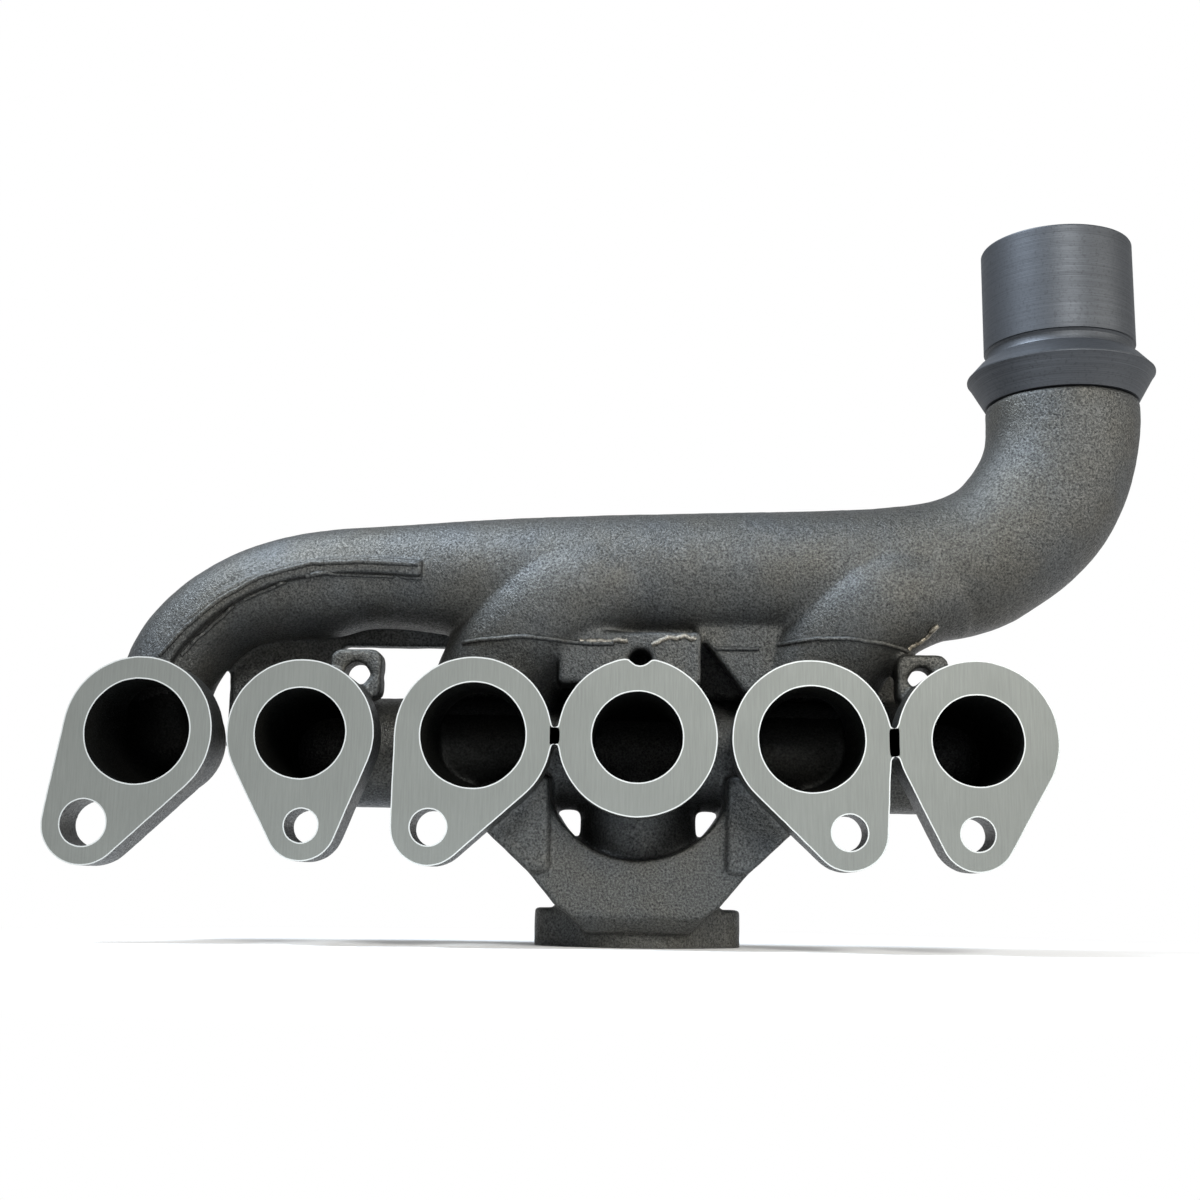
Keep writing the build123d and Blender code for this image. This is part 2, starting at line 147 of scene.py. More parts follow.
def window(low, shape):
    """The slices of the whole grid that a patch covers."""
    start = low - GRID_LOW
    return tuple(slice(int(a), int(a + n)) for a, n in zip(start, shape))


def skin_mesh(values, low, level=0.0):
    """The surface where a block of distances crosses level, as points and quads."""
    grid = openvdb.FloatGrid(REACH)
    grid.copyFromArray(np.ascontiguousarray(values, np.float32), ijk=tuple(int(c) for c in low))
    grid.transform = grid_transform()
    return grid.convertToQuads(isovalue=level)


def soften(values, passes):
    """Rounds edges and fillets corners by averaging neighbours, 1-2-1 along each axis."""
    for _ in range(passes):
        for axis in range(3):
            padded = np.pad(values, [(1, 1) if a == axis else (0, 0) for a in range(3)], mode="edge")
            lower = np.take(padded, range(0, values.shape[axis]), axis)
            upper = np.take(padded, range(2, values.shape[axis] + 2), axis)
            values = 0.5 * values + 0.25 * (lower + upper)
    return values.astype(np.float32)


def lumps(shape, pitch, seed):
    """Smooth random lumps, about one wide per pitch, between -1 and 1."""
    rng = np.random.default_rng(seed)
    step = pitch / VOXEL
    field = rng.uniform(-1, 1, [int(n / step) + 3 for n in shape]).astype(np.float32)
    for axis, count in enumerate(shape):
        place = np.arange(count) / step
        cell = place.astype(int)
        share = (place - cell).astype(np.float32)
        share = share * share * (3 - 2 * share)
        share = share.reshape([-1 if a == axis else 1 for a in range(3)])
        field = np.take(field, cell, axis) * (1 - share) + np.take(field, cell + 1, axis) * share
    return field


class Casting:
    """The distance field of the whole casting, and which region owns each voxel."""

    def __init__(self, settings):
        shape = tuple(int(n) for n in GRID_SHAPE)
        nearest = np.full(shape, REACH, np.float32)
        second = np.full(shape, REACH, np.float32)
        owner = np.full(shape, -1, np.int8)
        self.patches = {}
        for index, name in enumerate(CAST_REGIONS):
            low, values = self.with_machining_stock(name, *node_patch(name))
            self.patches[name] = (low, values)
            where = window(low, values.shape)
            closer = values < nearest[where]
            second[where] = np.where(closer, nearest[where], np.minimum(second[where], values))
            nearest[where] = np.where(closer, values, nearest[where])
            owner[where] = np.where(closer, index, owner[where])
        self.nearest, self.second, self.owner = nearest, second, owner
        self.whole = self.cast_whole(shape, settings)

    def with_machining_stock(self, name, low, values):
        """Adds raw iron in front of a face that is machined flat afterwards."""
        if name in FLANGE_REGIONS:
            axis = 1
        elif name == CARBURETTOR_FLANGE:
            axis = 2
        else:
            return low, values
        grow = [(MACHINING, 0) if a == axis else (0, 0) for a in range(3)]
        grown = np.pad(values, grow, constant_values=REACH)
        for shift in range(1, MACHINING + 1):
            grown = np.minimum(grown, np.roll(grown, -1, axis))
        low = low.copy()
        low[axis] -= MACHINING
        return low, grown

    def cast_whole(self, shape, settings):
        """One skin over all regions, with cast fillets, rounded edges and a grainy surface."""
        closing = settings.closing
        points, quads = skin_mesh(self.nearest, GRID_LOW, closing)
        low, values = distance_patch(points, quads=quads)
        whole = np.full(shape, REACH, np.float32)
        whole[window(low, values.shape)] = values + closing
        crisp = soften(whole, 1)
        round_cast = soften(crisp, settings.fillet_passes - 1)
        share = np.zeros(shape, np.float32)
        for name in CRISP_REGIONS:
            low, values = self.patches[name]
            where = window(low, values.shape)
            share[where] = np.maximum(share[where], np.clip(1 - values / CRISP_FADE, 0, 1))
        whole = round_cast + (crisp - round_cast) * share
        low, values = self.patches[PROUD_REGION]
        where = window(low, values.shape)
        whole[where] = np.minimum(whole[where], soften(values, 1) - settings.rib_raise)
        whole += settings.waviness * lumps(shape, settings.wave_pitch, WAVE_SEED)
        whole += settings.grain * lumps(shape, settings.grain_pitch, GRAIN_SEED)
        return whole

    def region(self, name):
        """One region's part of the skin, as points and quads, closed under its neighbours."""
        index = CAST_REGIONS.index(name)
        low, values = self.patches[name]
        where = window(low, values.shape)
        others = np.where(self.owner[where] == index, self.second[where], self.nearest[where])
        beyond = (values - others) / 2
        share = np.clip(beyond / SEAM_LAP, 0, 1)
        dipped = self.whole[where] + SEAM_DIP * share * share * (3 - 2 * share)
        return skin_mesh(np.maximum(dipped, beyond - SEAM_LAP), low)

    def front_depth(self, x, z):
        """The depth along Y of the first skin met behind the port face at x and z."""
        i, k = (int(round(c / VOXEL)) - GRID_LOW[a] for a, c in ((0, x), (2, z)))
        line = self.whole[i, :, k]
        start = int(-GRID_LOW[1])
        j = start + int(np.argmax(line[start:] < 0))
        share = line[j - 1] / (line[j - 1] - line[j]) if j > start else 0.0
        return (GRID_LOW[1] + j - 1 + share) * VOXEL


_casting = []


def casting():
    """The casting's field, made once from the settings."""
    if not _casting:
        _casting.append(Casting(bpy.context.scene.manifold_skin))
    return _casting[0]


# ---- meshes ----
def mesh_from(name, points, quads):
    mesh = bpy.data.meshes.new(name)
    mesh.vertices.add(len(points))
    mesh.vertices.foreach_set("co", np.ascontiguousarray(points, np.float32).ravel())
    mesh.loops.add(quads.size)
    mesh.loops.foreach_set("vertex_index", quads.astype(np.int32).ravel())
    mesh.polygons.add(len(quads))
    mesh.polygons.foreach_set("loop_start", np.arange(0, quads.size, quads.shape[1], dtype=np.int32))
    mesh.update(calc_edges=True)
    mesh.validate()
    mesh.shade_smooth()
    return mesh


def add_piece(mesh, nodes, materials):
    """Links a finished mesh as a piece that stands for its CAD nodes."""
    piece = bpy.data.objects.new(mesh.name, mesh)
    bpy.context.scene.collection.objects.link(piece)
    for material in materials:
        mesh.materials.append(material)
    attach(piece, BODY)
    if nodes:
        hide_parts(*nodes)
    return piece


def port_axes():
    """The axis of each port bore as x, z and radius, from the record's mounts."""
    found = []
    for mount in frame["record"]["mounts"]:
        if "_port_" in mount["name"] and mount["kind"] == "bore":
            x, _, z = mount["pos_m"]
            found.append((x, z, mount["dims"]["r_mm"] * MM))
    return found


PASSAGE_SLACK = 2.5 * MM  # how far outside its bore's radius a passage's wall may lie
PASSAGE_DEPTH = 66 * MM
PASSAGE_AHEAD = 10 * MM  # a wall that faces a point this far forward on the axis is a passage's


def mark_passage_shade(mesh, index):
    """Gives the faces inside the port passages the material at index, whose near-black colour is painted
    shade.
    """
    count = len(mesh.polygons)
    centres, normals = np.empty(count * 3, np.float32), np.empty(count * 3, np.float32)
    mesh.polygons.foreach_get("center", centres)
    mesh.polygons.foreach_get("normal", normals)
    centres, normals = centres.reshape(-1, 3), normals.reshape(-1, 3)
    inside = np.zeros(count, bool)
    for x, z, radius in port_axes():
        to_axis = np.stack([x - centres[:, 0], np.full(count, -PASSAGE_AHEAD), z - centres[:, 2]], 1)
        near = np.hypot(to_axis[:, 0], to_axis[:, 2]) < radius + PASSAGE_SLACK
        facing = np.einsum("ij,ij->i", normals, to_axis) > 0
        inside |= near & facing & (centres[:, 1] < PASSAGE_DEPTH)
    indices = np.empty(count, np.int32)
    mesh.polygons.foreach_get("material_index", indices)
    mesh.polygons.foreach_set("material_index", np.where(inside & (indices == 0), index, indices))


def machine_flat(mesh, place, normal, face_index, highlight_index, edge_highlight_width):
    """Cuts a mesh off flat at a plane, caps it, and paints a thin bright ring round each edge of the cap: a
    painted highlight for the light caught along the edge.
    """
    work = bmesh.new()
    work.from_mesh(mesh)
    everything = work.verts[:] + work.edges[:] + work.faces[:]
    cut = bmesh.ops.bisect_plane(
        work, geom=everything, plane_co=place, plane_no=normal, clear_outer=True
    )
    rim = [e for e in cut["geom_cut"] if isinstance(e, bmesh.types.BMEdge)]
    made = bmesh.ops.triangle_fill(work, edges=rim, use_beauty=True, normal=normal)
    cap = [f for f in made["geom"] if isinstance(f, bmesh.types.BMFace)]
    if not cap:
        raise RuntimeError(f"{mesh.name}: the machined face didn't close")
    for face in cap:
        face.material_index = face_index
        face.smooth = False
    # Painted highlight: the ring round the ground face gets a bright colour that stands in for light caught
    # by the edge.
    ring = bmesh.ops.inset_region(work, faces=cap, thickness=edge_highlight_width, use_even_offset=True)
    for face in ring["faces"]:
        face.material_index = highlight_index
        face.smooth = False
    for edge in rim:
        if edge.is_valid:
            edge.smooth = False
    work.to_mesh(mesh)
    work.free()


TURNED_EDGE_ANGLE = math.radians(24)


def lathe(name, profile, centre, segments):
    """A closed turned shape from a closed (radius, z) profile about a vertical axis."""
    rings, around = len(profile), np.linspace(0, 2 * math.pi, segments, endpoint=False)
    radius, height = np.array(profile).T
    points = np.empty((segments, rings, 3))
    points[..., 0] = centre[0] + np.cos(around)[:, None] * radius
    points[..., 1] = centre[1] + np.sin(around)[:, None] * radius
    points[..., 2] = height
    i, j = np.meshgrid(np.arange(segments), np.arange(rings), indexing="ij")
    i_next, j_next = (i + 1) % segments, (j + 1) % rings
    corners = (i * rings + j, i_next * rings + j, i_next * rings + j_next, i * rings + j_next)
    quads = np.stack([c.ravel() for c in corners], 1)
    mesh = mesh_from(name, points.reshape(-1, 3), quads)
    mesh.set_sharp_from_angle(angle=TURNED_EDGE_ANGLE)
    return mesh


# ---- materials ----
class Nodes:
    """A short way to write a material's node tree."""

    def __init__(self, name):
        self.material = bpy.data.materials.new(name)
        self.material.use_nodes = True
        self.tree = self.material.node_tree
        self.shader = self.tree.nodes["Principled BSDF"]
        self.place = self.tree.nodes.new("ShaderNodeTexCoord").outputs["Object"]

    def link(self, source, target):
        self.tree.links.new(source, target)

    def stretched(self, scale, turn=(0.0, 0.0, 0.0)):
        node = self.tree.nodes.new("ShaderNodeMapping")
        node.inputs["Scale"].default_value = scale
        node.inputs["Rotation"].default_value = turn
        self.link(self.place, node.inputs["Vector"])
        return node.outputs["Vector"]

    def noise(self, scale, detail=3.0, roughness=0.55, place=None):
        node = self.tree.nodes.new("ShaderNodeTexNoise")
        node.inputs["Scale"].default_value = scale
        node.inputs["Detail"].default_value = detail
        node.inputs["Roughness"].default_value = roughness
        self.link(place or self.place, node.inputs["Vector"])
        return node.outputs["Fac"]

    def ramp(self, factor, low, high, values):
        """Maps factor between low and high onto a pair of colours or numbers."""
        node = self.tree.nodes.new("ShaderNodeValToRGB")
        node.color_ramp.elements[0].position = low
        node.color_ramp.elements[1].position = high
        for element, value in zip(node.color_ramp.elements, values):
            element.color = (*value, 1) if hasattr(value, "__len__") else (value, value, value, 1)
        self.link(factor, node.inputs["Fac"])
        return node.outputs["Color"]

    def multiply(self, first, second):
        node = self.tree.nodes.new("ShaderNodeMix")
        node.data_type = "RGBA"
        node.blend_type = "MULTIPLY"
        node.inputs["Factor"].default_value = 1.0
        self.link(first, node.inputs["A"])
        self.link(second, node.inputs["B"])
        return node.outputs["Result"]

    def bump(self, height, distance, strength=1.0, under=None):
        node = self.tree.nodes.new("ShaderNodeBump")
        node.inputs["Strength"].default_value = strength
        node.inputs["Distance"].default_value = distance
        self.link(height, node.inputs["Height"])
        if under is not None:
            self.link(under, node.inputs["Normal"])
        return node.outputs["Normal"]

    def finish(self, metallic, color, roughness, normal):
        self.shader.inputs["Metallic"].default_value = metallic
        self.link(color, self.shader.inputs["Base Color"])
        self.link(roughness, self.shader.inputs["Roughness"])
        self.link(normal, self.shader.inputs["Normal"])
        return self.material


def cast_skin(name, dark, light):
    """Raw sand-cast iron: packed grains about half a millimetre across, with a metallic glint."""
    nodes = Nodes(name)
    grains = nodes.noise(1250, 4.0, 0.65)
    clumps = nodes.noise(420, 3.0)
    patches = nodes.noise(34, 2.0)
    color = nodes.ramp(grains, 0.30, 0.72, (dark, light))
    warm = nodes.ramp(patches, 0.35, 0.65, ((0.94, 0.97, 1.0), (1.0, 0.97, 0.90)))
    color = nodes.multiply(color, warm)
    roughness = nodes.ramp(grains, 0.30, 0.75, (0.60, 0.30))
    normal = nodes.bump(clumps, 0.35 * MM, 0.8)
    normal = nodes.bump(grains, 0.36 * MM, 1.0, normal)
    return nodes.finish(0.80, color, roughness, normal)


def ground_iron(name, color_pair):
    """A surface-ground face: pale, with fine straight grinding lines."""
    nodes = Nodes(name)
    lines = nodes.noise(1.0, 5.0, 0.7, nodes.stretched((1500, 300, 70), (0, math.radians(-32), 0)))
    cloud = nodes.noise(60, 2.0)
    color = nodes.ramp(lines, 0.30, 0.72, color_pair)
    shade = nodes.ramp(cloud, 0.3, 0.7, (0.93, 1.0))
    color = nodes.multiply(color, shade)
    roughness = nodes.ramp(lines, 0.3, 0.7, (0.52, 0.40))
    normal = nodes.bump(lines, 0.03 * MM, 0.5)
    return nodes.finish(0.55, color, roughness, normal)


def turned_iron(name, color_pair):
    """Lathe-turned iron: fine rings round the outlet's axis."""
    nodes = Nodes(name)
    rings = nodes.noise(1.0, 3.0, 0.6, nodes.stretched((25, 25, 5200)))
    specks = nodes.noise(900, 3.0, 0.6)
    color = nodes.ramp(rings, 0.30, 0.72, color_pair)
    pits = nodes.ramp(specks, 0.34, 0.46, (0.78, 1.0))
    color = nodes.multiply(color, pits)
    roughness = nodes.ramp(rings, 0.3, 0.7, (0.60, 0.46))
    normal = nodes.bump(rings, 0.04 * MM, 0.6)
    return nodes.finish(0.85, color, roughness, normal)


_materials = {}


def finish_named(name):
    """Each finish, made once from the settings."""
    if name not in _materials:
        skin = bpy.context.scene.manifold_skin
        faces = bpy.context.scene.manifold_faces
        pale, bright = np.array(faces.ground_color), np.array(faces.edge_highlight_color)
        turned = np.array(faces.turned_color)
        makers = {
            "cast_skin": lambda: cast_skin(name, skin.hollow_color, skin.grain_color),
            # painted shade: the port passages are coloured near black
            "passage_skin": lambda: cast_skin(name, skin.passage_shade_hollow, skin.passage_shade_grain),
            "torn_flash": lambda: cast_skin(name, skin.torn_hollow, skin.torn_grain),
            "ground_face": lambda: ground_iron(name, (pale * 0.84, pale * 1.1)),
            # painted highlight: the bright ring round each ground face
            "edge_burr": lambda: ground_iron(name, (bright * 0.8, bright)),
            "turned_iron": lambda: turned_iron(name, (turned * 0.75, turned * 1.2)),
        }
        _materials[name] = makers[name]()
    return _materials[name]


# ---- casting flash: thin ragged beads along the mould's parting lines, made by Geometry Nodes ----
LARGEST_STEP = 1.6 * MM  # a line that steps back further than this has left its surface
LINE_STRIDE = 1.5  # millimetres between a line's points once it lies on the skin
SHORTEST_STRETCH = 4  # points; anything shorter is left out
TOOTH = 3 * MM  # length of the flash's ragged teeth
FLASH_SEED, RAG_SEED = 3, 8
RAG_WANDER = 3  # torn flash wanders this many times further
THIN_SWELL, THICK_SWELL = 0.35, 1.3  # the bead's radius at its thinnest and thickest, as a share
NOISE_LOW, NOISE_HIGH = 0.3, 0.7  # nearly all noise values lie between these
# Each line: its points as x and z in millimetres on the casting's front, and the bead's size.
FLASH_LINES = [
    ([(-180, 30), (-171, 41), (-158.5, 51.7), (-144, 60.5), (-125, 65.9), (-106, 66.9), (-82, 65.9)], 0.45),
    ([(-173, 31), (-168, 37.2), (-153, 51.3), (-134, 59.4), (-120, 62.4), (-101, 62.2), (-83, 61.2)], 0.8),
    ([(-72.6, 36.7), (-59.4, 37.6), (-40.7, 38.4), (-25.6, 37.2), (-18, 36.6), (-9, 36.8)], 0.5),
    ([(52.8, 38.1), (65.9, 39), (78.9, 38.7), (93.8, 37), (105.6, 34.5)], 0.5),
    ([(29, 36.3), (46, 36.5)], 0.4),
]
RAG_LINES = [
    ([(5, 36), (8, 38), (12, 39.2), (17, 39.6), (21.5, 38.6)], 1.5),
    ([(-22, 37.4), (-12.5, 37.6), (-4.3, 38)], 0.9),
    ([(101, 36), (105, 38.5), (109, 41.5), (112, 45)], 1.4),
]


def flash_tree():
    """Sweeps a ragged bead along each curve, thicker and thinner by chance."""
    tree = bpy.data.node_groups.new("Casting flash", "GeometryNodeTree")
    sockets = tree.interface
    sockets.new_socket("Lines", in_out="INPUT", socket_type="NodeSocketGeometry")
    for name in ("Spacing", "Thickness", "Raggedness", "Tooth"):
        sockets.new_socket(name, in_out="INPUT", socket_type="NodeSocketFloat")
    sockets.new_socket("Seed", in_out="INPUT", socket_type="NodeSocketInt")
    sockets.new_socket("Material", in_out="INPUT", socket_type="NodeSocketMaterial")
    sockets.new_socket("Flash", in_out="OUTPUT", socket_type="NodeSocketGeometry")

    def node(kind, links=(), **settings):
        made = tree.nodes.new(kind)
        for key, value in settings.items():
            setattr(made, key, value)
        for socket, source in links:
            if hasattr(source, "links"):
                tree.links.new(source, made.inputs[socket])
            else:
                made.inputs[socket].default_value = source
        return made

    given = node("NodeGroupInput").outputs
    spaced = node(
        "GeometryNodeResampleCurve",
        [("Curve", given["Lines"]), ("Length", given["Spacing"])],
        mode="LENGTH",
    )
    density = node("ShaderNodeMath", [(0, 1.0), (1, given["Tooth"])], operation="DIVIDE")
    noise = node(
        "ShaderNodeTexNoise", [("W", given["Seed"]), ("Scale", density.outputs[0])], noise_dimensions="4D"
    )
    centred = node(
        "ShaderNodeVectorMath",
        [(0, noise.outputs["Color"]), (1, (0.5, 0.5, 0.5))],
        operation="SUBTRACT",
    )
    shift = node(
        "ShaderNodeVectorMath", [(0, centred.outputs[0]), ("Scale", given["Raggedness"])], operation="SCALE"
    )
    ragged = node(
        "GeometryNodeSetPosition", [("Geometry", spaced.outputs[0]), ("Offset", shift.outputs[0])]
    )
    limits = [(1, NOISE_LOW), (2, NOISE_HIGH), (3, THIN_SWELL), (4, THICK_SWELL)]
    swell = node("ShaderNodeMapRange", [("Value", noise.outputs["Fac"])] + limits)
    radius = node(
        "ShaderNodeMath",
        [(0, node("GeometryNodeInputRadius").outputs[0]), (1, swell.outputs[0])],
        operation="MULTIPLY",
    )
    sized = node(
        "GeometryNodeSetCurveRadius", [("Curve", ragged.outputs[0]), ("Radius", radius.outputs[0])]
    )
    section = node(
        "GeometryNodeCurvePrimitiveCircle", [("Resolution", 6), ("Radius", given["Thickness"])]
    )
    swept = node(
        "GeometryNodeCurveToMesh",
        [("Curve", sized.outputs[0]), ("Profile Curve", section.outputs[0]), ("Fill Caps", True)],
    )
    real = node("GeometryNodeRealizeInstances", [("Geometry", swept.outputs[0])])
    dressed = node(
        "GeometryNodeSetMaterial", [("Geometry", real.outputs[0]), ("Material", given["Material"])]
    )
    node("NodeGroupOutput", [("Flash", dressed.outputs[0])])
    return tree


def flash_piece(name, lines, inputs):
    """Lays lines on the casting's skin, sweeps them with the tree, and keeps the plain mesh."""
    curves = bpy.data.curves.new(name, "CURVE")
    curves.dimensions = "3D"
    for points, size in lines:
        for stretch in unbroken(points):
            spline = curves.splines.new("POLY")
            spline.points.add(len(stretch) - 1)
            for point, place in zip(spline.points, stretch):
                point.co = (*place, 1)
                point.radius = size
    path = bpy.data.objects.new(name, curves)
    bpy.context.scene.collection.objects.link(path)
    modifier = path.modifiers.new("Flash", "NODES")
    modifier.node_group = flash_tree()
    for socket in modifier.node_group.interface.items_tree:
        if socket.name in inputs:
            modifier[socket.identifier] = inputs[socket.name]
    depsgraph = bpy.context.evaluated_depsgraph_get()
    mesh = bpy.data.meshes.new_from_object(path.evaluated_get(depsgraph), depsgraph=depsgraph)
    bpy.data.objects.remove(path)
    mesh.name = name
    if not len(mesh.polygons):
        raise RuntimeError(f"{name}: the flash has no faces")
    add_piece(mesh, [], [])


def unbroken(points):
    """The stretches of a line that lie on one surface, as places on the casting's skin."""
    stretches = [[]]
    for x, z in walk(points, LINE_STRIDE):
        place = (x * MM, casting().front_depth(x * MM, z * MM), z * MM)
        if stretches[-1] and abs(place[1] - stretches[-1][-1][1]) > LARGEST_STEP:
            stretches.append([])
        stretches[-1].append(place)
    return [stretch for stretch in stretches if len(stretch) >= SHORTEST_STRETCH]


def walk(points, stride):
    """Points about one stride apart along the straight lines that join the given ones."""
    points = np.array(points, float)
    steps = np.hypot(*np.diff(points, axis=0).T)
    along = np.concatenate([[0], np.cumsum(steps)])
    even = np.linspace(0, along[-1], max(2, round(along[-1] / stride) + 1))
    across, up = (np.interp(even, along, points[:, axis]) for axis in (0, 1))
    return list(zip(across.tolist(), up.tolist()))


# ---- settings ----
def color_setting(name, description, default):
    return FloatVectorProperty(
        name=name, description=description, default=default, size=3, subtype="COLOR", min=0, max=1
    )


def length_setting(name, description, default):
    return FloatProperty(name=name, description=description, default=default, unit="LENGTH", precision=5)


def power_setting(name, description, default):
    return FloatProperty(name=name, description=description, default=default, unit="POWER")


class SkinSettings(bpy.types.PropertyGroup):
    closing: length_setting("Closing", "Gaps narrower than twice this are filled", 0.4 * MM)
    fillet_passes: IntProperty(name="Fillet", description="Rounding passes", default=3, min=1, max=12)
    waviness: length_setting("Waviness", "Height of the casting's long waves", 0.10 * MM)
    wave_pitch: length_setting("Wave pitch", "Width of the casting's long waves", 9 * MM)
    rib_raise: length_setting("Rib raise", "How far the rib stands above its plain shape", 0.7 * MM)
    grain: length_setting("Grain", "Height of clumps of sand grain", 0.07 * MM)
    grain_pitch: length_setting("Grain pitch", "Width of clumps of sand grain", 2.4 * MM)
    flash_step: length_setting("Flash step", "Distance between the flash's rings", 0.6 * MM)
    flash_ragged: length_setting("Flash raggedness", "How far the flash wanders", 0.9 * MM)
    hollow_color: color_setting("Hollows", "Iron between the grains", (0.014, 0.0145, 0.015))
    grain_color: color_setting("Grains", "Iron on top of the grains", (0.118, 0.120, 0.117))
    torn_hollow: color_setting("Torn flash hollows", "Dull side of torn flash", (0.10, 0.092, 0.078))
    torn_grain: color_setting("Torn flash", "Bright side of torn flash", (0.36, 0.33, 0.28))
    # Painted shade: the port passages are coloured near black for the shade deep inside the bores.
    passage_shade_hollow: color_setting("Passage hollows", "Inside the ports", (0.004, 0.004, 0.004))
    passage_shade_grain: color_setting("Passage grains", "Inside the ports", (0.030, 0.031, 0.029))


class FaceSettings(bpy.types.PropertyGroup):
    ground_color: color_setting("Ground face", "Iron of the ground port faces", (0.185, 0.194, 0.180))
    # Painted highlight: the bright ring round each ground face stands in for light caught along its edge.
    edge_highlight_color: color_setting("Edge highlight", "The bright edge left by grinding", (0.60, 0.62, 0.61))
    edge_highlight_width: length_setting("Burr width", "Width of the bright edge", 0.45 * MM)
    turned_color: color_setting("Turned iron", "Iron of the outlet spigot", (0.062, 0.067, 0.075))
    segments: IntProperty(name="Segments", description="Faces round the outlet", default=192, min=24)


class StageSettings(bpy.types.PropertyGroup):
    floor_color: color_setting("Floor", "The plain pale floor", (0.90, 0.90, 0.90))
    floor_size: length_setting("Floor size", "Width of the floor", 12.0)
    focal_length: FloatProperty(name="Focal length", description="In mm on a 36 mm sensor", default=48.086)
    world_light: FloatProperty(name="Surround", description="Light from all round", default=0.5)
    key_power: power_setting("Key light", "Soft light, upper left", 26.0)
    front_power: power_setting("Front light", "Small light, front", 9.0)
    fill_power: power_setting("Fill light", "Soft light, right", 6.0)


# ---- operators ----
def cast_pieces(names):
    """One piece for each rough region of the casting."""
    materials = [finish_named("cast_skin"), finish_named("passage_skin")]
    for name in names:
        mesh = mesh_from(f"{name}_skin", *casting().region(name))
        # the faces inside the ports get the near-black painted shade
        mark_passage_shade(mesh, 1)
        add_piece(mesh, [name], materials)


class MANIFOLD_OT_exhaust_side(bpy.types.Operator):
    """Cast the exhaust runners, the collector and the outlet elbow"""

    bl_idname = "manifold.exhaust_side"
    bl_label = "Exhaust side"

    def execute(self, context):
        cast_pieces(EXHAUST_REGIONS)
        return {"FINISHED"}


class MANIFOLD_OT_intake_side(bpy.types.Operator):
    """Cast the intake runners, the log and the riser"""

    bl_idname = "manifold.intake_side"
    bl_label = "Intake side"

    def execute(self, context):
        cast_pieces(INTAKE_REGIONS)
        return {"FINISHED"}


class MANIFOLD_OT_heat_box(bpy.types.Operator):
    """Cast the heat box round the riser and its two legs"""

    bl_idname = "manifold.heat_box"
    bl_label = "Heat box"

    def execute(self, context):
        cast_pieces(HEAT_REGIONS)
        return {"FINISHED"}


class MANIFOLD_OT_lugs_and_webs(bpy.types.Operator):
    """Cast the stud lugs, the rib, the gusset and the webs"""

    bl_idname = "manifold.lugs_and_webs"
    bl_label = "Lugs and webs"

    def execute(self, context):
        cast_pieces(STUD_REGIONS + TIE_REGIONS)
        return {"FINISHED"}


class MANIFOLD_OT_flash(bpy.types.Operator):
    """Leave the casting flash along the parting lines"""

    bl_idname = "manifold.flash"
    bl_label = "Casting flash"

    def execute(self, context):
        skin = context.scene.manifold_skin
        lines = {
            "Spacing": skin.flash_step,
            "Thickness": MM,
            "Raggedness": skin.flash_ragged,
            "Tooth": TOOTH,
            "Seed": FLASH_SEED,
            "Material": finish_named("cast_skin"),
        }
        flash_piece("parting_flash", FLASH_LINES, lines)
        rags = lines | {
            "Raggedness": RAG_WANDER * skin.flash_ragged,
            "Seed": RAG_SEED,
            "Material": finish_named("torn_flash"),
        }
        flash_piece("torn_flash", RAG_LINES, rags)
        return {"FINISHED"}


class MANIFOLD_OT_port_flanges(bpy.types.Operator):
    """Cast the six port flanges and grind their faces flat"""

    bl_idname = "manifold.port_flanges"
    bl_label = "Port flanges"

    def execute(self, context):
        edge_highlight_width = context.scene.manifold_faces.edge_highlight_width
        names = ("cast_skin", "ground_face", "edge_burr", "passage_skin")
        materials = [finish_named(n) for n in names]
        for name in FLANGE_REGIONS:
            mesh = mesh_from(f"{name}_ground", *casting().region(name))
            machine_flat(mesh, (0, 0, 0), (0, -1, 0), 1, 2, edge_highlight_width)
            # the faces inside the ports get the near-black painted shade
            mark_passage_shade(mesh, 3)
            add_piece(mesh, [name], materials)
        return {"FINISHED"}


class MANIFOLD_OT_carburettor_flange(bpy.types.Operator):
    """Cast the carburettor flange and grind its lower face"""

    bl_idname = "manifold.carburettor_flange"
    bl_label = "Carburettor flange"

    def execute(self, context):
        low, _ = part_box(CARBURETTOR_FLANGE)
        edge_highlight_width = context.scene.manifold_faces.edge_highlight_width
        mesh = mesh_from(f"{CARBURETTOR_FLANGE}_ground", *casting().region(CARBURETTOR_FLANGE))
        machine_flat(mesh, (0, 0, low.z), (0, 0, -1), 1, 2, edge_highlight_width)
        materials = [finish_named(n) for n in ("cast_skin", "ground_face", "edge_burr")]
        add_piece(mesh, [CARBURETTOR_FLANGE], materials)
        return {"FINISHED"}


def mount_radius(name):
    return next(m["dims"]["r_mm"] for m in frame["record"]["mounts"] if m["name"] == name) * MM


RIM_HEIGHT = 11.3 * MM  # of the collar's widest ring above its base
COLLAR_EDGE, SPIGOT_CHAMFER = 0.45 * MM, 0.9 * MM
# The neck between collar and spigot: millimetres out from the spigot and down from its foot.
NECK_PROFILE = [
    (2.2, 6.6), (1.5, 6.2), (-0.9, 4.6), (-1.3, 3.2), (-1.2, 1.6), (-0.6, 0.7), (0, 0.4),
]


